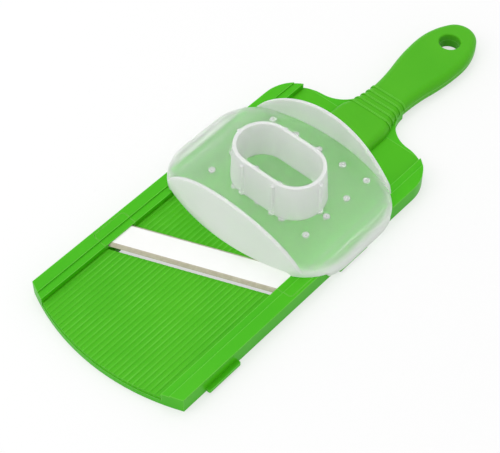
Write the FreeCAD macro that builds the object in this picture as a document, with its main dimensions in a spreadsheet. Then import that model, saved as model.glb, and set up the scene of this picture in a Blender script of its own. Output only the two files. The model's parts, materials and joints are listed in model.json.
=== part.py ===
import FreeCAD, Part
import math
import os
import Sketcher

# All sizes are millimetres. X runs across the slicer, Y towards the handle, Z up from the table.
SIZES = [
    ("body_half_width", 45.5, "half the width over the two rails"),
    ("overall_length", 265.7, "front edge to the end of the handle"),
    ("front_corner_depth", 9.6, "how far the front arc bulges past the rail ends"),
    ("rear_corner_radius", 20.0, "convex corner behind each rail"),
    ("neck_fillet_radius", 17.0, "concave corner from the rear edge into the neck"),
    ("handle_reach", 82.7, "handle past the rear edge of the body"),
    ("rail_top", 8.4, "height of the outer flat of the rails"),
    ("ridge_top", 7.7, "height of the lower step along the inside of the rails"),
    ("rail_flat", 5.9, "width of the outer flat of a rail"),
    ("ridge_width", 3.6, "width of the lower step of a rail"),
    ("plate_top", 5.0, "height of both food plates"),
    ("plate_thickness", 1.8, "thickness of both food plates"),
    ("plate_clearance", 0.15, "gap round the food plates"),
    ("ledge_width", 2.0, "width of the ledges under the plates"),
    ("front_sill_depth", 19.2, "sill under the front edge, at the middle"),
    ("rear_sill_depth", 5.8, "sill under the rear edge"),
    ("rear_lip", 1.5, "frame lip behind the rear food plate"),
    ("brace_width", 7.0, "width of the two cross braces"),
    ("brace_underside", 1.0, "height of the underside of the braces"),
    ("front_brace_reach", 35.2, "brace under the front plate, from the front edge"),
    ("rear_brace_reach", 47.8, "brace under the rear plate, from the rear edge"),
    ("channel_inner_wall", 2.2, "wall inside the hollow under each rail"),
    ("channel_outer_wall", 2.1, "wall outside the hollow under each rail"),
    ("channel_roof", 5.0, "roof of the hollow under each rail"),
    ("front_channel_near", 17.2, "front hollow, near end from the front edge"),
    ("front_channel_far", 40.2, "front hollow, far end from the front edge"),
    ("rear_channel_far", 77.8, "rear hollow, far end from the rear edge"),
    ("rear_channel_near", 25.8, "rear hollow, near end from the rear edge"),
    ("lug_reach", 2.4, "how far the bowl rests stand out from the sides"),
    ("lug_length", 19.5, "length of a bowl rest"),
    ("lug_corner", 0.8, "rounded corners of a bowl rest"),
    ("lug_underside", 1.0, "underside of the bowl rests"),
    ("lug_thickness", 1.6, "thickness of the bowl rests"),
    ("front_lug_reach", 32.5, "front bowl rests from the front edge"),
    ("rear_lug_reach", 65.5, "rear bowl rests from the rear edge"),
    ("rib_pitch", 2.5, "distance between the ribs of the food plates"),
    ("rib_groove", 1.1, "width of a groove between two ribs"),
    ("rib_depth", 0.1, "depth of a groove between two ribs"),
    ("rib_count", 28.0, "grooves across a food plate"),
    ("deck_rib_end", 31.0, "ribs of the rear plate stop in front of the rear edge"),
    ("front_setback", 0.4, "front plate edge behind the front arc"),
    ("blade_angle", 22.7, "turn of the blade about the upright axis"),
    ("blade_reach", 69.65, "middle of the blade from the front edge"),
    ("blade_end_setback", 3.87, "blade ends inside the outer cap faces"),
    ("blade_half_flat", 6.05, "half the width of the flat blade top"),
    ("blade_bevel", 1.2, "width of the ground bevels"),
    ("blade_top", 7.1, "height of the blade top"),
    ("blade_edge", 6.2, "height of the two cutting edges"),
    ("blade_underside", 6.05, "height of the blade underside"),
    ("slot_gap", 0.75, "slot between a cutting edge and the food plate"),
    ("cap_rim", 1.5, "rail left outside the blade end caps"),
    ("cap_length", 18.5, "length of the blade end caps"),
    ("cap_shift", 1.4, "cap middle behind the blade middle line"),
    ("cap_station", 40.0, "distance from the middle at which the caps sit"),
    ("cap_clearance", 0.12, "gap round the caps and over the blade"),
    ("cap_corner", 1.8, "rounded outer corners of the caps"),
    ("split_height", 5.0, "joint between the two handle halves"),
    ("handle_top", 9.0, "top of the handle"),
    ("handle_round", 3.5, "rounded edges of the handle"),
    ("pad_half_width", 14.6, "half the width of the handle root on the plate"),
    ("pad_length", 21.0, "handle root over the plate"),
    ("pad_waist", 3.8, "where the root narrows, in front of the rear edge"),
    ("pad_shoulder_radius", 14.0, "rounded shoulder from the root into the neck"),
    ("pad_corner", 5.0, "rounded front corners of the handle root"),
    ("neck_half_width", 10.3, "half the width of the neck"),
    ("bulb_half_width", 14.5, "half the greatest width of the handle"),
    ("swell_radius", 100.0, "hollow curve from the neck to the swelling"),
    ("bulb_radius", 36.0, "curve from the swelling to the tip"),
    ("tip_radius", 10.5, "rounded tip of the handle"),
    ("ring_start", 3.7, "first grip ring behind the rear edge"),
    ("ring_pitch", 3.55, "distance between the grip rings"),
    ("ring_count", 5.0, "number of grip rings"),
    ("ring_width", 0.9, "width of a grip ring"),
    ("ring_height", 0.4, "height of a grip ring"),
    ("hole_radius", 5.3, "hanging hole"),
    ("hole_setback", 15.7, "centre of the hanging hole from the handle end"),
    ("hole_round", 1.0, "rounded rim of the hanging hole"),
    ("tang_half_width", 6.5, "half the width of the tang inside the handle"),
    ("tang_underside", 3.6, "underside of the tang"),
    ("tang_top", 6.4, "top of the tang"),
    ("tang_start", 6.2, "where the tang leaves the frame, behind the rear edge"),
    ("tang_end", 3.8, "end of the tang in front of the widest part"),
    ("tang_clearance", 0.15, "gap round the tang"),
    ("screw_radius", 1.4, "shank of the handle screws"),
    ("screw_head_radius", 2.7, "head of the handle screws"),
    ("screw_head_height", 1.6, "height of the screw heads"),
    ("screw_sink", 0.6, "heads below the handle underside"),
    ("screw_top", 7.6, "tip of the handle screws"),
    ("screw_clearance", 0.1, "gap round the screws"),
    ("screw_drive", 0.8, "radius of the drive recess"),
    ("front_screw_reach", 11.2, "front handle screw behind the neck"),
    ("rear_screw_reach", 29.2, "rear handle screw behind the neck"),
    ("guard_reach", 62.4, "guard as photographed, from the rear edge"),
    ("guard_side_gap", 3.0, "gap between the guard sides and the rails"),
    ("guard_half_depth", 40.4, "half the depth of the guard"),
    ("guard_edge_radius", 108.0, "arc of the front and rear edges of the guard"),
    ("guard_corner_radius", 25.0, "plan corners of the guard"),
    ("guard_top", 12.8, "top of the guard plate"),
    ("guard_thickness", 1.8, "wall of the guard"),
    ("guard_side_radius", 4.5, "rounded upper edge of the guard sides"),
    ("skirt_wrap", 10.0, "guard sides hang beside the rails this far round the corners"),
    ("brim_wrap", 22.0, "guard sides pass over the rails this far round the corners"),
    ("brim_clearance", 0.5, "gap between the rails and the guard sides passing over them"),
    ("guard_side_bottom", 6.9, "lower edge of the guard sides"),
    ("runner_inset", 1.0, "guard runners from the inner edge of the rail flats"),
    ("runner_overhang", 1.5, "guard runners from the outer edge of the rails"),
    ("runner_half_length", 26.0, "half the length of the guard runners"),
    ("runner_clearance", 0.05, "gap between the runners and the rails"),
    ("shield_top", 31.5, "highest point of the finger shields"),
    ("shield_lean", 4.7, "inward lean of the finger shields at their highest point"),
    ("shield_inset", 10.9, "finger shields end inside the guard sides"),
    ("spike_pitch", 14.2, "distance between the spikes"),
    ("spike_row", 5.0, "spikes in a row"),
    ("spike_head_radius", 1.6, "head of a spike"),
    ("spike_head_height", 0.9, "height of a spike head"),
    ("spike_shank_radius", 1.0, "shank of a spike"),
    ("spike_dimple_radius", 0.5, "dimple in a spike head"),
    ("spike_dimple_depth", 0.4, "depth of the dimple"),
    ("spike_taper_top", 10.2, "where a spike starts to taper"),
    ("spike_tip", 8.0, "tip of a spike"),
    ("spike_tip_radius", 0.25, "blunt end of a spike"),
    ("spike_clearance", 0.08, "gap round a spike"),
    ("grip_height", 19.9, "height of the finger ring over the plate"),
    ("grip_straight", 9.5, "half the straight part of the finger ring"),
    ("grip_base_radius", 15.2, "outer radius of the ring at its base"),
    ("grip_top_radius", 14.0, "outer radius of the ring at its top"),
    ("grip_base_bore", 11.5, "inner radius of the ring at its base"),
    ("grip_top_bore", 12.2, "inner radius of the ring at its top"),
    ("stay_radius", 0.9, "upright stays round the finger ring"),
    ("stay_station", 9.0, "stays from the middle of the ring"),
    ("stay_height", 18.4, "height of the stays"),
    ("stay_setback", 0.3, "stay axis inside the ring base"),
    ("stay_foot_radius", 1.6, "round foot of a stay"),
    ("stay_foot_height", 1.3, "height of a stay foot"),
    ("margin", 5.0, "reach of cutting shapes past the faces they cut"),
]


class Size:
    """A length that remembers the sheet formula it came from."""

    def __init__(self, text, value):
        self.text = text
        self.value = value

    def __add__(self, other):
        return Size(f"({self.text} + {other.text})", self.value + other.value)

    def __sub__(self, other):
        return Size(f"({self.text} - {other.text})", self.value - other.value)

    def __mul__(self, other):
        return Size(f"({self.text} * {other.text})", self.value * other.value)

    def __truediv__(self, other):
        return Size(f"({self.text} / {other.text})", self.value / other.value)

    def __neg__(self):
        return Size(f"(0 - {self.text})", -self.value)


def root(size):
    return Size(f"sqrt({size.text})", math.sqrt(size.value))


def sine(angle):
    return Size(f"sin({angle.text} * 1 deg)", math.sin(math.radians(angle.value)))


def cosine(angle):
    return Size(f"cos({angle.text} * 1 deg)", math.cos(math.radians(angle.value)))


NOTHING = Size("0", 0.0)
ONE = Size("1", 1.0)
TWO = Size("2", 2.0)
UP = FreeCAD.Vector(0, 0, 1)

doc = FreeCAD.newDocument("slicer")
sheet = doc.addObject("Spreadsheet::Sheet", "Sizes")
size = {}
for row, (alias, value, note) in enumerate(SIZES, start=1):
    sheet.set(f"A{row}", note)
    sheet.set(f"B{row}", str(value))
    sheet.setAlias(f"B{row}", alias)
    size[alias] = Size(f"Sizes.{alias}", value)
doc.recompute()


def place(item, x=NOTHING, y=NOTHING, z=NOTHING):
    for axis, amount in (("x", x), ("y", y), ("z", z)):
        item.setExpression(f"Placement.Base.{axis}", amount.text)
    return item


def box(name, x_span, y_span, z_span):
    item = doc.addObject("Part::Box", name)
    spans = (x_span, y_span, z_span)
    for length, (low, high) in zip(("Length", "Width", "Height"), spans):
        item.setExpression(length, (high - low).text)
    return place(item, x_span[0], y_span[0], z_span[0])


def cylinder(name, radius, x, y, z_span):
    item = doc.addObject("Part::Cylinder", name)
    item.setExpression("Radius", radius.text)
    item.setExpression("Height", (z_span[1] - z_span[0]).text)
    return place(item, x, y, z_span[0])


def cut(name, base, tools):
    item = doc.addObject("Part::Cut", name)
    item.Base = base
    item.Tool = tools[0] if len(tools) == 1 else fuse(name + "_tools", tools)
    return item


def fuse(name, shapes):
    item = doc.addObject("Part::MultiFuse", name)
    item.Shapes = shapes
    item.Refine = True
    return item


def common(name, shapes):
    item = doc.addObject("Part::MultiCommon", name)
    item.Shapes = shapes
    return item


def origin_plane(body, role):
    return next(item for item in body.Origin.OriginFeatures if item.Role == role)


def arc_between(start, end, radius):
    """The short arc from start to end, counterclockwise for a positive radius."""
    chord = end - start
    middle = (start + end) * 0.5
    left = FreeCAD.Vector(-chord.y, chord.x, 0).normalize()
    rise = math.sqrt(max(radius * radius - chord.Length * chord.Length / 4, 0.0))
    centre = middle + left * math.copysign(rise, radius)
    first, last = (start, end) if radius > 0 else (end, start)
    angles = [math.atan2(spot.y - centre.y, spot.x - centre.x) for spot in (first, last)]
    circle = Part.Circle(centre, UP, abs(radius))
    return Part.ArcOfCircle(circle, angles[0], angles[1])


def profile(body, name, corners, role="XY_Plane", level=NOTHING):
    """A closed sketch; a corner is (x, y) or (x, y, radius of the arc to the next corner)."""
    sketch = body.newObject("Sketcher::SketchObject", name)
    sketch.AttachmentSupport = [(origin_plane(body, role), "")]
    sketch.MapMode = "FlatFace"
    sketch.setExpression("AttachmentOffset.Base.z", level.text)
    spots = [FreeCAD.Vector(corner[0].value, corner[1].value, 0) for corner in corners]
    ends = []
    bends = []
    for index, corner in enumerate(corners):
        start = spots[index]
        end = spots[(index + 1) % len(corners)]
        bend = corner[2] if len(corner) > 2 else None
        if bend is None:
            sketch.addGeometry(Part.LineSegment(start, end), False)
        else:
            sketch.addGeometry(arc_between(start, end, bend.value), False)
            bends.append((index, bend))
        ends.append((1, 2) if bend is None or bend.value > 0 else (2, 1))
    for index in range(len(corners)):
        after = (index + 1) % len(corners)
        sketch.addConstraint(
            Sketcher.Constraint("Coincident", index, ends[index][1], after, ends[after][0]))
    for index, corner in enumerate(corners):
        for kind, amount in (("DistanceX", corner[0]), ("DistanceY", corner[1])):
            pinned = Sketcher.Constraint(kind, -1, 1, index, ends[index][0], amount.value)
            sketch.setExpression(f"Constraints[{sketch.addConstraint(pinned)}]", amount.text)
    for index, bend in bends:
        number = sketch.addConstraint(Sketcher.Constraint("Radius", index, abs(bend.value)))
        sketch.setExpression(f"Constraints[{number}]", f"abs({bend.text})")
    return sketch


def pad(body, name, sketch, length, both_ways=False):
    item = body.newObject("PartDesign::Pad", name)
    item.Profile = sketch
    item.setExpression("Length", length.text)
    item.Midplane = both_ways
    return item


def prism(name, corners, z_span):
    body = doc.addObject("PartDesign::Body", name)
    sketch = profile(body, name + "_outline", corners, level=z_span[0])
    pad(body, name + "_pad", sketch, z_span[1] - z_span[0])
    return body


def mirrored(right_side):
    """Closes a right-hand run of corners with its mirror image, bends included."""
    left_side = []
    for index in range(len(right_side) - 1, -1, -1):
        x, y = right_side[index][:2]
        before = right_side[index - 1] if index > 0 else ()
        left_side.append((-x, y) + tuple(before[2:]))
    return right_side + left_side


def edges_at(shape, height):
    """Names of the edges lying wholly at one height."""
    tolerance = 0.001
    names = []
    for index, edge in enumerate(shape.Edges, start=1):
        span = edge.BoundBox
        level = abs(span.ZMin - height) < tolerance and abs(span.ZMax - height) < tolerance
        if level:
            names.append(f"Edge{index}")
    return names


def fillet(body, name, edges, radius):
    sharp = body.Tip
    item = body.newObject("PartDesign::Fillet", name)
    item.Base = (sharp, edges)
    item.setExpression("Radius", radius.text)
    body.Tip = item
    return item


def pattern(body, name, features, axis, pitch, count):
    item = body.newObject("PartDesign::LinearPattern", name)
    item.Originals = features
    item.Direction = (origin_plane(body, axis), [""])
    item.setExpression("Length", (pitch * (count - ONE)).text)
    item.setExpression("Occurrences", count.text)
    body.Tip = item
    return item


half_length = size["overall_length"] / TWO
body_half = size["body_half_width"]
front_corner_y = size["front_corner_depth"] - half_length
sagitta = size["front_corner_depth"]
front_radius = (body_half * body_half + sagitta * sagitta) / (TWO * sagitta)
rear_y = half_length - size["handle_reach"]
corner = size["rear_corner_radius"]
neck_fillet = size["neck_fillet_radius"]
neck_half = size["neck_half_width"]
corner_x = body_half - corner
corner_y = rear_y - corner
turn_x = neck_half + neck_fillet - corner_x
turn_radii = corner + neck_fillet
turn_y = root(turn_radii * turn_radii - turn_x * turn_x)
neck_y = corner_y + turn_y
shoulder_point = (corner_x + turn_x * corner / turn_radii, corner_y + turn_y * corner / turn_radii)
plate_base = size["plate_top"] - size["plate_thickness"]
ridge_half = body_half - size["rail_flat"]
well_half = ridge_half - size["ridge_width"]
ledge_half = well_half - size["ledge_width"]
blade_y = size["blade_reach"] - half_length
cap_outer = body_half - size["cap_rim"]
blade_length = TWO * (cap_outer - size["blade_end_setback"]) / cosine(size["blade_angle"])
bulb_half = size["bulb_half_width"]
bulb_reach = size["bulb_radius"] - size["tip_radius"]
bulb_inset = size["bulb_radius"] - bulb_half
bulb_y = half_length - size["tip_radius"] - root(bulb_reach * bulb_reach - bulb_inset * bulb_inset)
tang_y = (rear_y + size["tang_start"], bulb_y - size["tang_end"])
screw_places = (
    ("front", neck_y + size["front_screw_reach"]),
    ("rear", neck_y + size["rear_screw_reach"]),
)
margin = size["margin"]


def body_outline():
    """Plan of the slicer body: front arc, rails, rear corners and neck."""
    right_side = [
        (body_half, front_corner_y),
        (body_half, corner_y, corner),
        shoulder_point + (-neck_fillet,),
        (neck_half, neck_y),
    ]
    left_side = [
        (-neck_half, neck_y, -neck_fillet),
        (-shoulder_point[0], shoulder_point[1], corner),
        (-body_half, corner_y),
        (-body_half, front_corner_y, front_radius),
    ]
    return right_side + left_side


# Blade: a ceramic bar with a bevel along both long edges, set slantwise.
blade_half = size["blade_half_flat"] + size["blade_bevel"]
blade = doc.addObject("PartDesign::Body", "blade")
blade_section = [
    (-blade_half, size["blade_underside"]),
    (blade_half, size["blade_underside"]),
    (blade_half, size["blade_edge"]),
    (size["blade_half_flat"], size["blade_top"]),
    (-size["blade_half_flat"], size["blade_top"]),
    (-blade_half, size["blade_edge"]),
]
blade_sketch = profile(blade, "blade_section", blade_section, role="YZ_Plane")
pad(blade, "blade_bar", blade_sketch, blade_length, both_ways=True)
blade.setExpression("Placement.Rotation.Angle", size["blade_angle"].text)
place(blade, y=blade_y)

slope = sine(size["blade_angle"]) / cosine(size["blade_angle"])
slot_reach = (blade_half + size["slot_gap"]) / cosine(size["blade_angle"])
plate_half = well_half - size["plate_clearance"]


def slot_edge(x, side):
    """Y of the food plate edge along the blade, in front (-1) or behind (+1)."""
    return blade_y + slope * x + side * slot_reach


def add_ribs(body, name, y_span):
    """Shallow grooves along the top of a food plate, leaving fine ribs."""
    first = -(size["rib_pitch"] * (size["rib_count"] - ONE) + size["rib_groove"]) / TWO
    groove_outline = [
        (first, y_span[0]),
        (first + size["rib_groove"], y_span[0]),
        (first + size["rib_groove"], y_span[1]),
        (first, y_span[1]),
    ]
    sketch = profile(body, name + "_groove_outline", groove_outline, level=size["plate_top"])
    groove = body.newObject("PartDesign::Pocket", name + "_groove")
    groove.Profile = sketch
    groove.setExpression("Length", size["rib_depth"].text)
    doc.recompute()
    pattern(body, name + "_grooves", [groove], "X_Axis", size["rib_pitch"], size["rib_count"])


# Front food plate: follows the front arc and stops short of the blade.
ramp_plate = doc.addObject("PartDesign::Body", "ramp_plate")
plate_front_radius = front_radius - size["front_setback"]
front_centre_y = front_radius - half_length
front_side_y = front_centre_y - root(
    plate_front_radius * plate_front_radius - plate_half * plate_half)
ramp_outline = [
    (plate_half, front_side_y),
    (plate_half, slot_edge(plate_half, -ONE)),
    (-plate_half, slot_edge(-plate_half, -ONE)),
    (-plate_half, front_side_y, plate_front_radius),
]
ramp_sketch = profile(ramp_plate, "ramp_outline", ramp_outline, level=plate_base)
pad(ramp_plate, "ramp_slab", ramp_sketch, size["plate_thickness"])
add_ribs(ramp_plate, "ramp", (-half_length - margin, slot_edge(plate_half, -ONE) + margin))

# Rear food plate: runs from the blade to the lip along the rear edge.
deck_plate = doc.addObject("PartDesign::Body", "deck_plate")
deck_rear_y = rear_y - size["rear_lip"]
deck_side = plate_half - corner_x
deck_side_y = corner_y + root(corner * corner - deck_side * deck_side)
deck_step = deck_rear_y - corner_y
deck_rear_x = corner_x + root(corner * corner - deck_step * deck_step)
deck_outline = [
    (plate_half, slot_edge(plate_half, ONE)),
    (plate_half, deck_side_y, corner),
    (deck_rear_x, deck_rear_y),
    (-deck_rear_x, deck_rear_y, corner),
    (-plate_half, deck_side_y),
    (-plate_half, slot_edge(-plate_half, ONE)),
]
deck_sketch = profile(deck_plate, "deck_outline", deck_outline, level=plate_base)
pad(deck_plate, "deck_slab", deck_sketch, size["plate_thickness"])
add_ribs(deck_plate, "deck", (slot_edge(-plate_half, ONE) - margin, rear_y - size["deck_rib_end"]))


def blade_room(name):
    """The slanted space that the blade fills, with its clearance at the sides and above."""
    room = doc.addObject("Part::Box", name)
    gap = size["cap_clearance"]
    room_half = blade_half + gap
    room_reach = blade_length / TWO + gap
    room.setExpression("Length", (TWO * room_reach).text)
    room.setExpression("Width", (TWO * room_half).text)
    room.setExpression("Height", (size["blade_top"] + gap - size["blade_underside"]).text)
    along = cosine(size["blade_angle"])
    aside = sine(size["blade_angle"])
    room.setExpression("Placement.Rotation.Angle", size["blade_angle"].text)
    return place(room, room_half * aside - room_reach * along,
                 blade_y - room_reach * aside - room_half * along, size["blade_underside"])


# Frame: two stepped rails, sills and ledges under the plates, and the tang of the handle.
frame_blank = prism("frame_blank", body_outline(), (NOTHING, size["rail_top"]))
across = (-well_half, well_half)
over_all = (-half_length - margin, half_length)
above = size["rail_top"] + margin
frame_cuts = [
    box("plate_seat", across, (over_all[0], rear_y - size["rear_lip"]), (plate_base, above)),
    box("rear_lip_top", across, over_all, (size["plate_top"], above)),
    box("ridge_step", (-ridge_half, ridge_half), over_all,
        (size["ridge_top"], above)),
    box("slice_well", (-ledge_half, ledge_half),
        (size["front_sill_depth"] - half_length, rear_y - size["rear_sill_depth"]),
        (-margin, plate_base + margin)),
    blade_room("rail_blade_slot"),
]
channel_spans = (
    ("front", size["front_channel_near"] - half_length, size["front_channel_far"] - half_length),
    ("rear", rear_y - size["rear_channel_far"], rear_y - size["rear_channel_near"]),
)
channel_inner = well_half + size["channel_inner_wall"]
channel_outer = body_half - size["channel_outer_wall"]
for end_name, start_y, end_y in channel_spans:
    for side_name, low_x, high_x in (
            ("left", -channel_outer, -channel_inner),
            ("right", channel_inner, channel_outer)):
        frame_cuts.append(box(f"{side_name}_{end_name}_hollow", (low_x, high_x), (start_y, end_y),
                              (-margin, size["channel_roof"])))


def cap_outline(side, gap):
    """Plan of a blade end cap or, with a gap, of the pocket it fills."""
    middle = blade_y + side * slope * size["cap_station"] + size["cap_shift"]
    near_y = middle - size["cap_length"] / TWO - gap
    far_y = middle + size["cap_length"] / TWO + gap
    outer = cap_outer + gap
    turn = size["cap_corner"]
    corners = [
        (well_half, near_y),
        (outer - turn, near_y, turn),
        (outer, near_y + turn),
        (outer, far_y - turn, turn),
        (outer - turn, far_y),
        (well_half, far_y),
    ]
    if side.value > 0:
        return corners
    bends = [spot[2:] for spot in corners]
    flipped = []
    for index in range(len(corners) - 1, -1, -1):
        flipped.append((-corners[index][0], corners[index][1]) + tuple(bends[index - 1]))
    return flipped


SIDES = (("left", -ONE), ("right", ONE))
for side_name, side in SIDES:
    pocket_span = (size["blade_underside"], above)
    frame_cuts.append(prism(side_name + "_cap_pocket", cap_outline(side, size["cap_clearance"]),
                            pocket_span))
frame_shell = cut("frame_shell", frame_blank, frame_cuts)

frame_pieces = [frame_shell]
for end_name, brace_y in (
        ("front", size["front_brace_reach"] - half_length),
        ("rear", rear_y - size["rear_brace_reach"])):
    half_brace = size["brace_width"] / TWO
    reach = ledge_half
    frame_pieces.append(box(end_name + "_brace", (-reach, reach),
                            (brace_y - half_brace, brace_y + half_brace),
                            (size["brace_underside"], plate_base)))
lug_top = size["lug_underside"] + size["lug_thickness"]
lug_corner = size["lug_corner"]
for end_name, lug_y in (
        ("front", size["front_lug_reach"] - half_length),
        ("rear", rear_y - size["rear_lug_reach"])):
    half_lug = size["lug_length"] / TWO
    reach = size["lug_reach"]
    outer = body_half + reach
    lug_outline = [
        (body_half - reach, lug_y - half_lug),
        (outer - lug_corner, lug_y - half_lug, lug_corner),
        (outer, lug_y - half_lug + lug_corner),
        (outer, lug_y + half_lug - lug_corner, lug_corner),
        (outer - lug_corner, lug_y + half_lug),
        (body_half - reach, lug_y + half_lug),
    ]
    flipped_lug = [
        (reach - body_half, lug_y + half_lug),
        (lug_corner - outer, lug_y + half_lug, lug_corner),
        (-outer, lug_y + half_lug - lug_corner),
        (-outer, lug_y - half_lug + lug_corner, lug_corner),
        (lug_corner - outer, lug_y - half_lug),
        (reach - body_half, lug_y - half_lug),
    ]
    lug_span = (size["lug_underside"], lug_top)
    frame_pieces.append(prism(end_name + "_right_lug", lug_outline, lug_span))
    frame_pieces.append(prism(end_name + "_left_lug", flipped_lug, lug_span))
tang_half = size["tang_half_width"]
frame_pieces.append(box("tang", (-tang_half, tang_half), tang_y,
                        (size["tang_underside"], size["tang_top"])))
frame_joined = fuse("frame_joined", frame_pieces)
screw_hole = size["screw_radius"] + size["screw_clearance"]
screw_holes = []
for end_name, screw_y in screw_places:
    screw_holes.append(cylinder(end_name + "_tang_hole", screw_hole, NOTHING, screw_y,
                                (NOTHING, size["screw_top"])))
frame = cut("frame", frame_joined, screw_holes)

# Blade end caps: flush with the stepped rail, hollowed over the end of the blade.
caps = []
for side_name, side in SIDES:
    cap_block = prism(side_name + "_cap_block", cap_outline(side, NOTHING),
                      (size["blade_underside"], size["rail_top"]))
    room = blade_room(side_name + "_blade_room")
    step = box(side_name + "_cap_step", (-ridge_half, ridge_half),
               over_all, (size["ridge_top"], above))
    caps.append(cut("blade_cap_" + side_name, cap_block, [room, step]))

# Handle halves: one plan, rounded along the outer edge, ringed round the neck.


def handle_outline(grow, root_pad):
    """Plan of the handle grown by an amount, with or without the root on the rear plate."""
    swell = size["swell_radius"] - grow
    narrow = neck_half + grow
    wide = bulb_half + grow
    rise_x = wide - narrow
    rise_y = bulb_y - neck_y
    radii = (rise_x * rise_x + rise_y * rise_y) / (TWO * rise_x)
    share = swell / radii
    turn_point = (narrow + rise_x * share, neck_y + rise_y * share)
    bulb = size["bulb_radius"] + grow
    tip = size["tip_radius"] + grow
    bulb_x = wide - bulb
    tip_offset = root((bulb - tip) * (bulb - tip) - bulb_x * bulb_x)
    tip_x = bulb_x - bulb_x * bulb / (bulb - tip)
    tip_y = bulb_y + tip_offset * bulb / (bulb - tip)
    run = [
        (narrow, neck_y, -swell),
        turn_point + (radii - swell,),
        (wide, bulb_y, bulb),
        (tip_x, tip_y, tip),
    ]
    if root_pad:
        pad_half = size["pad_half_width"] + grow
        shoulder = size["pad_shoulder_radius"] + grow
        waist_x = pad_half - narrow
        pad_front_y = rear_y - size["pad_length"]
        pad_rear_y = rear_y - size["pad_waist"]
        waist_y = neck_y - pad_rear_y
        waist_radii = (waist_x * waist_x + waist_y * waist_y) / (TWO * waist_x)
        waist_share = shoulder / waist_radii
        pad_turn = size["pad_corner"]
        run = [
            (pad_half - pad_turn, pad_front_y, pad_turn),
            (pad_half, pad_front_y + pad_turn),
            (pad_half, pad_rear_y, shoulder),
            (pad_half - waist_x * waist_share, pad_rear_y + waist_y * waist_share,
             shoulder - waist_radii),
        ] + run
    return mirrored(run)


def handle_half(name, outline, z_span, rounded_height):
    body = prism(name, outline, z_span)
    doc.recompute()
    fillet(body, name + "_edge", edges_at(body.Tip.Shape, rounded_height.value),
           size["handle_round"])
    return body


split = size["split_height"]
upper_span = (split, size["handle_top"])
upper_half = handle_half("upper_half", handle_outline(NOTHING, True), upper_span, upper_span[1])
ring_span = (split, size["handle_top"] + size["ring_height"])
ring_blank = handle_half("ring_blank", handle_outline(size["ring_height"], True), ring_span,
                         ring_span[1])
lower_half = handle_half("lower_half", handle_outline(NOTHING, False), (NOTHING, split), NOTHING)

ring_slabs = []
for number in range(int(size["ring_count"].value)):
    index = Size(str(number), float(number))
    ring_middle = rear_y + size["ring_start"] + index * size["ring_pitch"]
    half_ring = size["ring_width"] / TWO
    ring_slabs.append(box(f"ring_slab_{number}", (-half_length, half_length),
                          (ring_middle - half_ring, ring_middle + half_ring), ring_span))
grip_rings = common("grip_rings", [ring_blank, fuse("ring_slabs", ring_slabs)])
upper_joined = fuse("upper_joined", [upper_half, grip_rings])


def revolved(name, half_section):
    """A turned piece from its half section of (radius, height) corners."""
    body = doc.addObject("PartDesign::Body", name)
    sketch = profile(body, name + "_section", half_section, role="XZ_Plane")
    turned = body.newObject("PartDesign::Revolution", name + "_turned")
    turned.Profile = sketch
    turned.ReferenceAxis = (origin_plane(body, "Z_Axis"), [""])
    turned.Angle = 360.0
    return body


def hole_rim(name, face, outward):
    """Rounds the rim of the hanging hole where it meets a face of the handle."""
    turn = size["hole_round"]
    wide = size["hole_radius"] + turn
    inner = (size["hole_radius"], face - outward * turn)
    outer = (wide, face)
    beyond = face + outward * margin
    if outward.value > 0:
        section = [(NOTHING, inner[1]), inner + (-turn,), outer, (wide, beyond), (NOTHING, beyond)]
    else:
        section = [(NOTHING, beyond), (wide, beyond), outer + (-turn,), inner, (NOTHING, inner[1])]
    return place(revolved(name, section), y=half_length - size["hole_setback"])


def handle_tools(name, face, outward):
    """Shapes taken out of a handle half: hanging hole, tang room and screw holes."""
    gap = size["tang_clearance"]
    tools = [
        cylinder(name + "_hole", size["hole_radius"], NOTHING, half_length - size["hole_setback"],
                 (-margin, size["handle_top"] + margin)),
        hole_rim(name + "_hole_rim", face, outward),
        box(name + "_tang_room", (-tang_half - gap, tang_half + gap),
            (tang_y[0] - gap, tang_y[1] + gap),
            (size["tang_underside"] - gap, size["tang_top"] + gap)),
    ]
    for end_name, screw_y in screw_places:
        tools.append(cylinder(f"{name}_{end_name}_shank_hole", screw_hole, NOTHING, screw_y,
                              (-margin, size["screw_top"] + size["screw_clearance"])))
        tools.append(cylinder(f"{name}_{end_name}_head_hole",
                              size["screw_head_radius"] + size["screw_clearance"], NOTHING, screw_y,
                              (-margin, size["screw_sink"] + size["screw_head_height"])))
    return tools


grip_upper = cut("grip_upper", upper_joined, handle_tools("upper", size["handle_top"], ONE))
grip_lower = cut("grip_lower", lower_half, handle_tools("lower", NOTHING, -ONE))


screw_base = size["screw_sink"]
screw_section = [
    (NOTHING, screw_base + size["screw_drive"]),
    (size["screw_drive"], screw_base + size["screw_drive"]),
    (size["screw_drive"], screw_base),
    (size["screw_head_radius"], screw_base),
    (size["screw_head_radius"], screw_base + size["screw_head_height"]),
    (size["screw_radius"], screw_base + size["screw_head_height"]),
    (size["screw_radius"], size["screw_top"]),
    (NOTHING, size["screw_top"]),
]
screws = []
for end_name, screw_y in screw_places:
    screws.append(place(revolved(end_name + "_screw", screw_section), y=screw_y))
grip_screws = doc.addObject("Part::Compound", "grip_screws")
grip_screws.Links = screws

# Guard tray: a plate rolled down at the sides, runners below, finger shields front and rear.
guard_half = body_half + size["guard_side_gap"] + size["guard_thickness"]
guard_depth = size["guard_half_depth"]
edge_radius = size["guard_edge_radius"]
guard_corner = size["guard_corner_radius"]
edge_centre = edge_radius - guard_depth
arm = edge_radius - guard_corner
corner_reach = guard_half - guard_corner
corner_drop = root(arm * arm - corner_reach * corner_reach)
side_y = corner_drop - edge_centre


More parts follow.
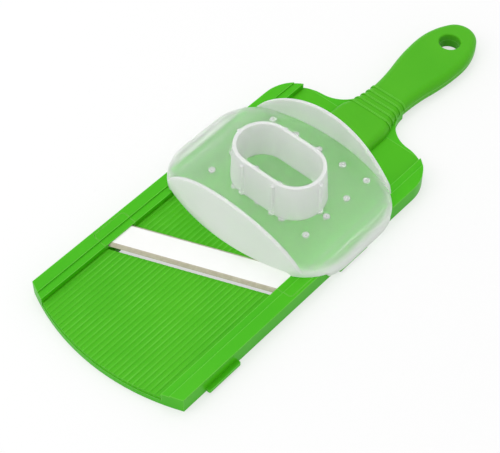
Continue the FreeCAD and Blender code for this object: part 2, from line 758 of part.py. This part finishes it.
def guard_outline(inset):
    """Plan of the guard moved inwards by an inset: arcs front and rear, round corners, straight sides."""
    turn = guard_corner - inset
    side_x = guard_half - inset
    arc = edge_radius - inset
    meet_x = corner_reach * arc / arm
    meet_y = corner_drop * arc / arm - edge_centre
    return [
        (meet_x, -meet_y, turn),
        (side_x, -side_y),
        (side_x, side_y, turn),
        (meet_x, meet_y, arc),
        (-meet_x, meet_y, turn),
        (-side_x, side_y),
        (-side_x, -side_y, turn),
        (-meet_x, -meet_y, arc),
    ]


guard_envelope = prism("guard_envelope", guard_outline(NOTHING),
                       (NOTHING, size["shield_top"] + margin))
guard_top = size["guard_top"]
wall = size["guard_thickness"]
guard_base = guard_top - wall
skirt_base = size["guard_side_bottom"]


def guard_shell(name, inset, z_span, edge_round):
    body = prism(name, guard_outline(inset), z_span)
    doc.recompute()
    fillet(body, name + "_edge", edges_at(body.Tip.Shape, z_span[1].value), edge_round)
    return body


guard_outside = guard_shell("guard_outside", NOTHING, (skirt_base, guard_top),
                            size["guard_side_radius"])
guard_inside = guard_shell("guard_inside", wall, (skirt_base - margin, guard_base),
                           size["guard_side_radius"] - wall)
skirt_cuts = [guard_inside]
guard_across = (-guard_half - margin, guard_half + margin)
skirt_end = side_y + size["skirt_wrap"]
brim_end = side_y + size["brim_wrap"]
brim_base = size["rail_top"] + size["brim_clearance"]
far_end = guard_depth + margin
for cut_name, cut_span, cut_top in (
        ("front_skirt_end", (-far_end, -skirt_end), brim_base),
        ("rear_skirt_end", (skirt_end, far_end), brim_base),
        ("front_brim_end", (-far_end, -brim_end), guard_base),
        ("rear_brim_end", (brim_end, far_end), guard_base)):
    skirt_cuts.append(box(cut_name, guard_across, cut_span, (skirt_base - margin, cut_top)))
guard_plate = cut("guard_plate", guard_outside, skirt_cuts)

tray_pieces = [guard_plate]


def leaning_wall(name, base_radius, arc_y):
    """An upright cone face whose radius shrinks with height, so a shield leans inwards."""
    height = size["shield_top"] + margin - guard_base
    lean = size["shield_lean"] * height / (size["shield_top"] - guard_base)
    item = doc.addObject("Part::Cone", name)
    item.setExpression("Radius1", base_radius.text)
    item.setExpression("Radius2", (base_radius - lean).text)
    item.setExpression("Height", height.text)
    return place(item, y=arc_y, z=guard_base)


shield_half = guard_half - size["shield_inset"]
shield_rise = size["shield_top"] - guard_top
shield_radius = (shield_half * shield_half + shield_rise * shield_rise) / (TWO * shield_rise)
for end_name, end in (("front", -ONE), ("rear", ONE)):
    arc_y = end * (guard_depth - edge_radius)
    outer_wall = leaning_wall(end_name + "_shield_outer", edge_radius, arc_y)
    inner_wall = leaning_wall(end_name + "_shield_inner", edge_radius - wall, arc_y)
    shield_wall = cut(end_name + "_shield_wall", outer_wall, [inner_wall])
    shield_disc = doc.addObject("Part::Cylinder", end_name + "_shield_disc")
    shield_disc.setExpression("Radius", shield_radius.text)
    shield_disc.setExpression("Height", (guard_depth + margin).text)
    shield_disc.Placement.Rotation = FreeCAD.Rotation(FreeCAD.Vector(1, 0, 0), -90 * end.value)
    place(shield_disc, z=size["shield_top"] - shield_radius)
    tray_pieces.append(common(end_name + "_shield", [shield_wall, shield_disc, guard_envelope]))
runner_base = size["rail_top"] + size["runner_clearance"]
runner_y = (-size["runner_half_length"], size["runner_half_length"])
runner_inner = ridge_half + size["runner_inset"]
runner_outer = body_half - size["runner_overhang"]
for side_name, low_x, high_x in (
        ("left", -runner_outer, -runner_inner),
        ("right", runner_inner, runner_outer)):
    tray_pieces.append(box(side_name + "_runner", (low_x, high_x), runner_y,
                           (runner_base, guard_base + wall / TWO)))
tray_joined = fuse("tray_joined", tray_pieces)

# Spikes: flush heads in the tray, points held just above the blade.
head_base = guard_top - size["spike_head_height"]
dimple_base = guard_top - size["spike_dimple_depth"]
spike_section = [
    (NOTHING, size["spike_tip"]),
    (size["spike_tip_radius"], size["spike_tip"]),
    (size["spike_shank_radius"], size["spike_taper_top"]),
    (size["spike_shank_radius"], head_base),
    (size["spike_head_radius"], head_base),
    (size["spike_head_radius"], guard_top),
    (size["spike_dimple_radius"], guard_top),
    (NOTHING, dimple_base),
]
spike_room = size["spike_clearance"]
seat_section = [
    (NOTHING, guard_base - margin),
    (size["spike_shank_radius"] + spike_room, guard_base - margin),
    (size["spike_shank_radius"] + spike_room, head_base),
    (size["spike_head_radius"] + spike_room, head_base),
    (size["spike_head_radius"] + spike_room, guard_top + margin),
    (NOTHING, guard_top + margin),
]
spikes_in_row = int(size["spike_row"].value)
spike_items = []
seat_items = []
for column in range(spikes_in_row):
    for line in range(spikes_in_row):
        column_step = Size(str(column), float(column)) - (size["spike_row"] - ONE) / TWO
        line_step = Size(str(line), float(line)) - (size["spike_row"] - ONE) / TWO
        spot = (column_step * size["spike_pitch"], line_step * size["spike_pitch"])
        name = f"{column}_{line}"
        spike_items.append(place(revolved("spike_" + name, spike_section), *spot))
        seat_items.append(place(revolved("seat_" + name, seat_section), *spot))
spikes = doc.addObject("Part::Compound", "spikes")
spikes.Links = spike_items
guard_tray = cut("guard_tray", tray_joined, seat_items)

# Finger ring: an open tapered oval standing on the tray, with six upright stays.
straight = size["grip_straight"]


def oval(radius):
    return [
        (straight, -radius, radius),
        (straight + radius, NOTHING, radius),
        (straight, radius),
        (-straight, radius, radius),
        (-straight - radius, NOTHING, radius),
        (-straight, -radius),
    ]


def tapered_oval(name, z_span, base_radius, top_radius):
    body = doc.addObject("PartDesign::Body", name)
    base_sketch = profile(body, name + "_base", oval(base_radius), level=z_span[0])
    top_sketch = profile(body, name + "_top", oval(top_radius), level=z_span[1])
    loft = body.newObject("PartDesign::AdditiveLoft", name + "_loft")
    loft.Profile = base_sketch
    loft.Sections = [top_sketch]
    loft.Ruled = True
    return body


ring_top = guard_top + size["grip_height"]
ring_outside = tapered_oval("ring_outside", (guard_top, ring_top), size["grip_base_radius"],
                            size["grip_top_radius"])
ring_inside = tapered_oval("ring_inside", (guard_top, ring_top), size["grip_base_bore"],
                           size["grip_top_bore"])
stay_line = size["grip_base_radius"] - size["stay_setback"]
stay_spots = [(straight + stay_line, NOTHING), (-straight - stay_line, NOTHING)]
for x_side in (-ONE, ONE):
    for y_side in (-ONE, ONE):
        stay_spots.append((x_side * size["stay_station"], y_side * stay_line))
ring_pieces = [ring_outside]
for number, (stay_x, stay_y) in enumerate(stay_spots):
    ring_pieces.append(cylinder(f"stay_{number}", size["stay_radius"], stay_x, stay_y,
                                (guard_top, guard_top + size["stay_height"])))
    ring_pieces.append(cylinder(f"stay_foot_{number}", size["stay_foot_radius"], stay_x, stay_y,
                                (guard_top, guard_top + size["stay_foot_height"])))
finger_ring = cut("finger_ring", fuse("ring_joined", ring_pieces), [ring_inside])

NODES = [frame, ramp_plate, deck_plate, blade, caps[0], caps[1], grip_upper, grip_lower, grip_screws,
         guard_tray, finger_ring, spikes]
for guard_piece in (guard_tray, finger_ring, spikes):
    place(guard_piece, y=rear_y - size["guard_reach"])
doc.recompute()

for item in doc.Objects:
    if "Invalid" in item.State or "Error" in item.State:
        raise RuntimeError(f"{item.Name} did not rebuild: {item.State}")
os.makedirs("parts", exist_ok=True)
for node in NODES:
    node.Label = node.Name
    if node.Shape.isNull() or not node.Shape.isValid():
        raise RuntimeError(f"{node.Name} has no valid shape")
    node.Shape.exportStep(f"parts/{node.Name}.step")
    span = node.Shape.BoundBox
    print(node.Name, len(node.Shape.Solids), round(node.Shape.Volume, 1),
          [round(edge, 2) for edge in (span.XMin, span.XMax, span.YMin, span.YMax, span.ZMin, span.ZMax)])
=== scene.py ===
"""Looks for the green hand slicer with its translucent finger guard."""
import json
import math

import bpy
from mathutils import Matrix, Vector

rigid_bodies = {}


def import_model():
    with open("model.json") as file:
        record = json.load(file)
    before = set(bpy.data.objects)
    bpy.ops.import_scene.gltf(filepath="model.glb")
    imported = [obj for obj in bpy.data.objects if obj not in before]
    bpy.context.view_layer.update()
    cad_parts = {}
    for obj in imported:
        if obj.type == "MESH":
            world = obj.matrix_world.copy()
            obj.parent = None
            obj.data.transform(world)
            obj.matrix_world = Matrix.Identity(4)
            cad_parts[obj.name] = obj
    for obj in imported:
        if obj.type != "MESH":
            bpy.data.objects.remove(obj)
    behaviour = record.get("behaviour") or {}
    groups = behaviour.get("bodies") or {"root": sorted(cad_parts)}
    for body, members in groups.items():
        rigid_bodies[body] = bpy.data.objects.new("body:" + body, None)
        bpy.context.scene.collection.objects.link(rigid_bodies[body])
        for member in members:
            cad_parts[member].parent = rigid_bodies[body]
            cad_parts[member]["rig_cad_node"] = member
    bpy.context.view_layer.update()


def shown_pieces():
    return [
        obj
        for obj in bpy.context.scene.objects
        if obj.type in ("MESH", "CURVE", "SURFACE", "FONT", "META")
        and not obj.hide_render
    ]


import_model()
scene = bpy.context.scene

MILLIMETRE = 0.001
OPAQUE = 1.0
WHITE = (1.0, 1.0, 1.0, OPAQUE)
OFF_TO_FULL = (0.0, 1.0)
FULL_TO_OFF = (1.0, 0.0)

# The display's colour curve.
DISPLAY_FULL = 255.0
CURVE_KNEE = 0.04045
CURVE_SLOPE = 12.92
CURVE_OFFSET = 0.055
CURVE_POWER = 2.4

# Sockets of the colour mix node that share their names with others.
MIX_FIRST = 6
MIX_SECOND = 7
MIX_RESULT = 2

# Noise: its detail, the stops of a two-shade drift, and sizes as features per metre.
NOISE_DETAIL = 3.0
DRIFT_STOPS = (0.3, 0.7)
GREEN_DRIFT = 22.0
HIGHLIGHT_DRIFT = 60.0
CREST_HIGHLIGHT_DRIFT = 70.0
GREEN_GLOSS = 160.0
GREEN_GRAIN = 900.0
CERAMIC_DRIFT = 45.0
BEIGE_SHADE_DRIFT = 500.0
CERAMIC_GRAIN = 900.0
MILK_DRIFT = 30.0
FROST_GLOSS = 220.0
FROST_GRAIN = 700.0
STEEL_DRIFT = 400.0
STEEL_GLOSS = 800.0
STEEL_GRAIN = 1500.0
FLOOR_DRIFT = 3.0

# Painted highlight on outward edges: how far to look into the solid, and what is open far from and at an
# edge.
EDGE_SAMPLES = 6
HIGHLIGHT_REACH = 0.42 * MILLIMETRE
HIGHLIGHT_OPENNESS = (0.95, 0.6)

# Fine relief of the surfaces.
RELIEF_STRENGTH = 0.35
CERAMIC_RELIEF_STRENGTH = 0.2
GREEN_RELIEF = 0.03 * MILLIMETRE
CERAMIC_RELIEF = 0.004 * MILLIMETRE
FROST_RELIEF = 0.01 * MILLIMETRE
STEEL_RELIEF = 0.01 * MILLIMETRE
FROST_EDGE = 0.4 * MILLIMETRE
STEEL_EDGE = 0.1 * MILLIMETRE

# Painted highlight lines on the ribs of the food plates: crests lie at whole pitches from the middle,
# and end under the guard.
RIB_HALF_PITCH = 1.25 * MILLIMETRE
RIB_END = (18.85 * MILLIMETRE, 19.15 * MILLIMETRE)
CREST_WIDTH = (0.15 * MILLIMETRE, 0.4 * MILLIMETRE)
CREST_NOISE = (0.35, 0.65)
CREST_HIGHLIGHT_STRENGTH = (0.4, 1.4)

# The blade: its turn, the direction across it, and where the beige painted shade along its front edge
# begins.
BLADE_TURN = math.radians(22.7)
BLADE_Y = -63.2 * MILLIMETRE
BLADE_ACROSS = (-math.sin(BLADE_TURN), math.cos(BLADE_TURN), 0.0)
BEIGE_REACH = 5.3 * MILLIMETRE
BEIGE_FADE = 0.1 * MILLIMETRE
BEIGE_EDGE = BLADE_Y * math.cos(BLADE_TURN) - BEIGE_REACH
FLAT_FACING = (0.86, 0.96)
GROUND_TO_POLISHED = (0.5, 0.2)

# The guard: heights over which its plate turns into walls, and how level a clear face is.
WALL_RISE = (12.9 * MILLIMETRE, 14.5 * MILLIMETRE)
PLATE_FACING = (0.45, 0.98)
CLEAR_PATCHES = (-0.02, 0.02)
FROST_ROUGHNESS = (0.55, 0.65)
MILK_DIM = 0.98
LAMPLIGHT = (0.97, 0.98, 0.97, OPAQUE)

GLOSS_BELOW = 0.05
GLOSS_ABOVE = 0.07
STEEL_ROUGHNESS = (0.28, 0.42)

GREEN_SURFACE = {
    "Specular IOR Level": 0.16,
    "Subsurface Weight": 0.12,
    "Subsurface Radius": (0.4, 1.0, 0.2),
    "Subsurface Scale": 1.2 * MILLIMETRE,
}
CLOUDY_SURFACE = {
    "IOR": 1.45,
    "Coat Weight": 0.3,
    "Coat Roughness": 0.3,
    "Subsurface Weight": 0.8,
    "Subsurface Radius": (1.0, 1.0, 1.0),
    "Subsurface Scale": 3.0 * MILLIMETRE,
}
STEEL_SURFACE = {"Metallic": 1.0}
FLOOR_SURFACE = {"Roughness": 0.9, "Specular IOR Level": 0.1}

# The studio: floor, sky and lamps, in metres.
FLOOR_SIZE = 6.0
FLOOR_PLACE = (0.0, 0.0, -0.2 * MILLIMETRE)
FLOOR_GLOW = 0.62
FLOOR_SHADES = ((0.8, 0.8, 0.8, OPAQUE), (0.84, 0.84, 0.84, OPAQUE))
PAPER = (0.98, 0.98, 0.98, OPAQUE)
SKY_STRENGTH = 0.77
WHITE_STRENGTH = 1.0
KEY = {"place": (-0.3, 0.1, 1.1), "width": 0.6, "power": 2.05}
FILL = {"place": (-0.4, -0.75, 0.8), "width": 0.8, "power": 2.1}

# The camera, fitted to the photo.
SENSOR_WIDTH = 36.0
LENS = 105.4
CAMERA_PLACE = Vector((279.0, -341.95, 521.8)) * MILLIMETRE
CAMERA_AZIMUTH = math.radians(41.98)
CAMERA_ELEVATION = math.radians(51.37)
CLIP_START = 10.0 * MILLIMETRE


def curve(share):
    """Linear light from a display share of 0 to 1."""
    if share <= CURVE_KNEE:
        return share / CURVE_SLOPE
    return ((share + CURVE_OFFSET) / (1.0 + CURVE_OFFSET)) ** CURVE_POWER


def linear(*values):
    """Linear colour from display values of 0 to 255."""
    return tuple(curve(value / DISPLAY_FULL) for value in values) + (OPAQUE,)


def milky(*values):
    """A slightly dimmed and a full shade of a pale colour, from display values."""
    dimmed = tuple(MILK_DIM * curve(value / DISPLAY_FULL) for value in values) + (OPAQUE,)
    return dimmed, linear(*values)


class Nodes:
    """Short calls for adding and joining the nodes of one material or world."""

    def __init__(self, owner):
        owner.use_nodes = True
        self.owner = owner
        self.tree = owner.node_tree
        self.surface = self.tree.nodes.get("Principled BSDF")

    def add(self, kind, **values):
        node = self.tree.nodes.new(kind)
        for key, value in values.items():
            setattr(node, key, value)
        return node

    def join(self, source, target):
        self.tree.links.new(source, target)

    def assign(self, node, values):
        """Fixed values for a node's sockets, by name."""
        for name, value in values.items():
            node.inputs[name].default_value = value

    def feed(self, node, *sources):
        """Fill a node's sockets in order, each from another node or with a fixed value."""
        for socket, source in zip(node.inputs, sources):
            if isinstance(source, bpy.types.NodeSocket):
                self.join(source, socket)
            else:
                socket.default_value = source

    def calculate(self, operation, *sources):
        node = self.add("ShaderNodeMath", operation=operation)
        self.feed(node, *sources)
        return node.outputs["Value"]

    def rescale(self, factor, result, span=OFF_TO_FULL):
        """A factor's span turned into a range of results, and held at its ends."""
        node = self.add("ShaderNodeMapRange")
        self.feed(node, factor, *span, *result)
        return node.outputs["Result"]

    def split(self, source):
        node = self.add("ShaderNodeSeparateXYZ")
        self.join(source, node.inputs["Vector"])
        return node.outputs

    def object_place(self):
        return self.add("ShaderNodeTexCoord").outputs["Object"]

    def object_normal(self):
        return self.add("ShaderNodeTexCoord").outputs["Normal"]

    def noise(self, scale):
        node = self.add("ShaderNodeTexNoise")
        self.assign(node, {"Scale": scale, "Detail": NOISE_DETAIL})
        self.join(self.object_place(), node.inputs["Vector"])
        return node.outputs["Fac"]

    def drift(self, scale, shades):
        """A colour that wanders between two shades."""
        node = self.add("ShaderNodeValToRGB")
        for point, stop, shade in zip(node.color_ramp.elements, DRIFT_STOPS, shades):
            point.position = stop
            point.color = shade
        self.join(self.noise(scale), node.inputs["Fac"])
        return node.outputs["Color"]

    def mix_colour(self, factor, first, second):
        node = self.add("ShaderNodeMix", data_type="RGBA")
        self.join(factor, node.inputs["Factor"])
        self.join(first, node.inputs[MIX_FIRST])
        self.join(second, node.inputs[MIX_SECOND])
        return node.outputs[MIX_RESULT]

    def mix_shader(self, factor, first, second):
        node = self.add("ShaderNodeMixShader")
        self.feed(node, factor, first, second)
        return node.outputs["Shader"]

    def painted_edge_highlight(self, most):
        """Strength of a painted highlight near an outward edge, found by looking into the solid."""
        inward = self.add("ShaderNodeAmbientOcclusion", inside=True, only_local=True,
                          samples=EDGE_SAMPLES)
        self.assign(inward, {"Distance": HIGHLIGHT_REACH})
        return self.rescale(inward.outputs["AO"], (0.0, most), HIGHLIGHT_OPENNESS)

    def painted_rib_highlight(self, most):
        """Strength of a painted highlight along the middle of a rib, uneven, as far as the ribs go."""
        place = self.split(self.object_place())
        away = self.calculate("PINGPONG", place["X"], RIB_HALF_PITCH)
        # A painted highlight line along each rib crest.
        line = self.rescale(away, (most, 0.0), CREST_WIDTH)
        strength = self.rescale(self.noise(CREST_HIGHLIGHT_DRIFT), CREST_HIGHLIGHT_STRENGTH, CREST_NOISE)
        ribbed = self.rescale(place["Y"], FULL_TO_OFF, RIB_END)
        return self.calculate("MULTIPLY", self.calculate("MULTIPLY", line, strength), ribbed)

    def grain(self, scale, depth, strength):
        """Fine relief on the surface."""
        bump = self.add("ShaderNodeBump")
        self.assign(bump, {"Strength": strength, "Distance": depth})
        self.join(self.noise(scale), bump.inputs["Height"])
        self.join(bump.outputs["Normal"], self.surface.inputs["Normal"])
        return bump

    def soft_grain(self, scale, depth, edge_radius):
        """Fine relief on top of softly rounded edges."""
        edge = self.add("ShaderNodeBevel", samples=EDGE_SAMPLES)
        self.assign(edge, {"Radius": edge_radius})
        bump = self.grain(scale, depth, RELIEF_STRENGTH)
        self.join(edge.outputs["Normal"], bump.inputs["Normal"])

    def seen(self):
        """Full for rays from the camera, also by way of a mirror or through glass."""
        path = self.add("ShaderNodeLightPath").outputs
        direct = self.calculate("MAXIMUM", path["Is Camera Ray"], path["Is Glossy Ray"])
        return self.calculate("MAXIMUM", direct, path["Is Transmission Ray"])


def green_plastic(name, shades, roughness, edge_highlight, edge_radius, rib_highlight=None):
    """Moulded plastic: slow colour drift, a paler painted highlight on outward edges (and on rib crests
    when asked), fine grain and a slightly uneven gloss.
    """
    made = Nodes(bpy.data.materials.new(name))
    # Paler green painted highlight on outward edges, and on rib crests for the food plates.
    painted_highlight = made.painted_edge_highlight(edge_highlight)
    if rib_highlight is not None:
        painted_highlight = made.calculate("MAXIMUM", painted_highlight, made.painted_rib_highlight(rib_highlight))
    colour = made.mix_colour(painted_highlight, made.drift(GREEN_DRIFT, shades), made.drift(HIGHLIGHT_DRIFT, HIGHLIGHT_GREENS))
    made.join(colour, made.surface.inputs["Base Color"])
    gloss = made.rescale(made.noise(GREEN_GLOSS), (roughness - GLOSS_BELOW, roughness + GLOSS_ABOVE))
    made.join(gloss, made.surface.inputs["Roughness"])
    made.soft_grain(GREEN_GRAIN, GREEN_RELIEF, edge_radius)
    made.assign(made.surface, GREEN_SURFACE)
    return made.owner


def white_ceramic(name):
    """Polished white ceramic whose ground edges are dull, with beige painted shade on faces that slope
    from level and on a band along the front edge.
    """
    made = Nodes(bpy.data.materials.new(name))
    # Beige painted shade on faces that slope away from level and on a band along the front edge; the
    # same mask makes them dull.
    level = made.rescale(made.split(made.object_normal())["Z"], OFF_TO_FULL, FLAT_FACING)
    across = made.add("ShaderNodeVectorMath", operation="DOT_PRODUCT")
    made.feed(across, made.object_place(), BLADE_ACROSS)
    behind = made.rescale(across.outputs["Value"], OFF_TO_FULL,
                          (BEIGE_EDGE - BEIGE_FADE, BEIGE_EDGE + BEIGE_FADE))
    polished_unshaded = made.calculate("MINIMUM", level, behind)
    colour = made.mix_colour(polished_unshaded, made.drift(BEIGE_SHADE_DRIFT, SHADE_BEIGES),
                             made.drift(CERAMIC_DRIFT, CERAMIC_WHITES))
    made.join(colour, made.surface.inputs["Base Color"])
    made.join(made.rescale(polished_unshaded, GROUND_TO_POLISHED), made.surface.inputs["Roughness"])
    made.grain(CERAMIC_GRAIN, CERAMIC_RELIEF, CERAMIC_RELIEF_STRENGTH)
    return made.owner


def cloudy_plastic(name, shades, clear_plate, clear_wall, lamp_share):
    """Natural translucent plastic: a level plate lets the green through, walls and edges are milky."""
    made = Nodes(bpy.data.materials.new(name))
    made.join(made.drift(MILK_DRIFT, shades), made.surface.inputs["Base Color"])
    made.join(made.rescale(made.noise(FROST_GLOSS), FROST_ROUGHNESS), made.surface.inputs["Roughness"])
    made.soft_grain(FROST_GRAIN, FROST_RELIEF, FROST_EDGE)
    made.assign(made.surface, CLOUDY_SURFACE)
    height = made.split(made.object_place())["Z"]
    climb = made.rescale(height, (clear_plate, clear_wall), WALL_RISE)
    facing = made.calculate("ABSOLUTE", made.split(made.object_normal())["Z"])
    slope = made.rescale(facing, (clear_wall, clear_plate), PLATE_FACING)
    patches = made.rescale(made.noise(MILK_DRIFT), CLEAR_PATCHES)
    clear = made.calculate("ADD", made.calculate("MINIMUM", climb, slope), patches)
    made.join(clear, made.surface.inputs["Transmission Weight"])
    lamplight = made.add("ShaderNodeBsdfTransparent")
    made.assign(lamplight, {"Color": LAMPLIGHT})
    shadow = made.add("ShaderNodeLightPath").outputs["Is Shadow Ray"]
    passed = made.calculate("MULTIPLY", shadow, lamp_share)
    whole = made.mix_shader(passed, made.surface.outputs["BSDF"], lamplight.outputs["BSDF"])
    made.join(whole, made.tree.nodes["Material Output"].inputs["Surface"])
    return made.owner


def plain_steel(name):
    """Turned steel with fine marks."""
    made = Nodes(bpy.data.materials.new(name))
    made.join(made.drift(STEEL_DRIFT, STEEL_GREYS), made.surface.inputs["Base Color"])
    made.join(made.rescale(made.noise(STEEL_GLOSS), STEEL_ROUGHNESS), made.surface.inputs["Roughness"])
    made.soft_grain(STEEL_GRAIN, STEEL_RELIEF, STEEL_EDGE)
    made.assign(made.surface, STEEL_SURFACE)
    return made.owner


# Colours, each as a darker and a lighter shade.
FRAME_GREENS = (linear(67, 184, 12), linear(75, 191, 17))
PLATE_GREENS = (linear(71, 182, 13), linear(79, 189, 18))
HANDLE_GREENS = (linear(76, 179, 20), linear(84, 186, 26))
# Painted highlight greens for outward edges and rib crests.
HIGHLIGHT_GREENS = (linear(128, 222, 84), linear(140, 230, 96))
CERAMIC_WHITES = (linear(250, 250, 248), linear(254, 254, 253))
# Beige painted shade for the blade's sloped faces and the band along its front edge.
SHADE_BEIGES = (linear(178, 172, 148), linear(192, 187, 164))
STEEL_GREYS = (linear(150, 150, 150), linear(190, 190, 188))
GUARD_MILK = milky(253, 255, 253)
SPIKE_MILK = milky(252, 254, 252)

LOOKS = {
    "frame_green": green_plastic("frame_green", FRAME_GREENS, roughness=0.4, edge_highlight=0.55,
                                 edge_radius=0.3 * MILLIMETRE),
    "plate_green": green_plastic("plate_green", PLATE_GREENS, roughness=0.42, edge_highlight=0.1,
                                 edge_radius=0.2 * MILLIMETRE, rib_highlight=0.2),
    "handle_green": green_plastic("handle_green", HANDLE_GREENS, roughness=0.4, edge_highlight=0.55,
                                  edge_radius=0.3 * MILLIMETRE),
    "blade_white": white_ceramic("blade_white"),
    "guard_clear": cloudy_plastic("guard_clear", GUARD_MILK, clear_plate=0.92, clear_wall=0.3,
                                  lamp_share=0.96),
    "ring_milky": cloudy_plastic("ring_milky", GUARD_MILK, clear_plate=0.24, clear_wall=0.24,
                                 lamp_share=0.99),
    "spike_milky": cloudy_plastic("spike_milky", SPIKE_MILK, clear_plate=0.3, clear_wall=0.3,
                                  lamp_share=0.8),
    "screw_steel": plain_steel("screw_steel"),
}
SLOTS = {
    "frame": "frame_green",
    "ramp_plate": "plate_green",
    "deck_plate": "plate_green",
    "blade": "blade_white",
    "blade_cap_left": "frame_green",
    "blade_cap_right": "frame_green",
    "grip_upper": "handle_green",
    "grip_lower": "handle_green",
    "grip_screws": "screw_steel",
    "guard_tray": "guard_clear",
    "finger_ring": "ring_milky",
    "spikes": "spike_milky",
}
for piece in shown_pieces():
    look = LOOKS[SLOTS[piece["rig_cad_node"]]]
    piece.data.materials.clear()
    piece.data.materials.append(look)


def backdrop():
    """A wide pale floor that reads white to the camera and still takes a soft shadow."""
    bpy.ops.mesh.primitive_plane_add(size=FLOOR_SIZE, location=FLOOR_PLACE)
    floor = bpy.context.object
    floor.name = "floor"
    made = Nodes(bpy.data.materials.new("floor_white"))
    made.join(made.drift(FLOOR_DRIFT, FLOOR_SHADES), made.surface.inputs["Base Color"])
    made.assign(made.surface, FLOOR_SURFACE)
    paper = made.add("ShaderNodeBsdfDiffuse")
    made.assign(paper, {"Color": PAPER})
    glow = made.add("ShaderNodeEmission")
    made.assign(glow, {"Color": WHITE, "Strength": WHITE_STRENGTH})
    white = made.mix_shader(FLOOR_GLOW, paper.outputs["BSDF"], glow.outputs["Emission"])
    whole = made.mix_shader(made.seen(), made.surface.outputs["BSDF"], white)
    made.join(whole, made.tree.nodes["Material Output"].inputs["Surface"])
    floor.data.materials.append(made.owner)


def lamp(name, place, width, power):
    """A round soft lamp that points at the middle of the floor."""
    data = bpy.data.lights.new(name, "AREA")
    data.shape = "DISK"
    data.size = width
    data.energy = power
    holder = bpy.data.objects.new(name, data)
    holder.location = place
    holder.rotation_euler = (-Vector(place)).to_track_quat("-Z", "Y").to_euler()
    scene.collection.objects.link(holder)


def studio():
    """An even pale sky that reads white to the camera, and two soft lamps."""
    made = Nodes(bpy.data.worlds.new("studio"))
    sky = made.tree.nodes["Background"]
    made.assign(sky, {"Color": WHITE, "Strength": SKY_STRENGTH})
    white = made.add("ShaderNodeBackground")
    made.assign(white, {"Color": WHITE, "Strength": WHITE_STRENGTH})
    whole = made.mix_shader(made.seen(), sky.outputs["Background"], white.outputs["Background"])
    made.join(whole, made.tree.nodes["World Output"].inputs["Surface"])
    scene.world = made.owner
    lamp("key", **KEY)
    lamp("fill", **FILL)


def photo_camera():
    """A level camera at the photo's viewing angle."""
    data = bpy.data.cameras.new("camera")
    data.sensor_width = SENSOR_WIDTH
    data.lens = LENS
    data.clip_start = CLIP_START
    holder = bpy.data.objects.new("camera", data)
    back = Vector((math.sin(CAMERA_AZIMUTH) * math.cos(CAMERA_ELEVATION),
                   -math.cos(CAMERA_AZIMUTH) * math.cos(CAMERA_ELEVATION),
                   math.sin(CAMERA_ELEVATION)))
    right = Vector((math.cos(CAMERA_AZIMUTH), math.sin(CAMERA_AZIMUTH), 0.0))
    turn = Matrix((right, back.cross(right), back)).transposed()
    holder.matrix_world = Matrix.Translation(CAMERA_PLACE) @ turn.to_4x4()
    scene.collection.objects.link(holder)
    scene.camera = holder


backdrop()
studio()
photo_camera()
scene.view_settings.view_transform = "Standard"
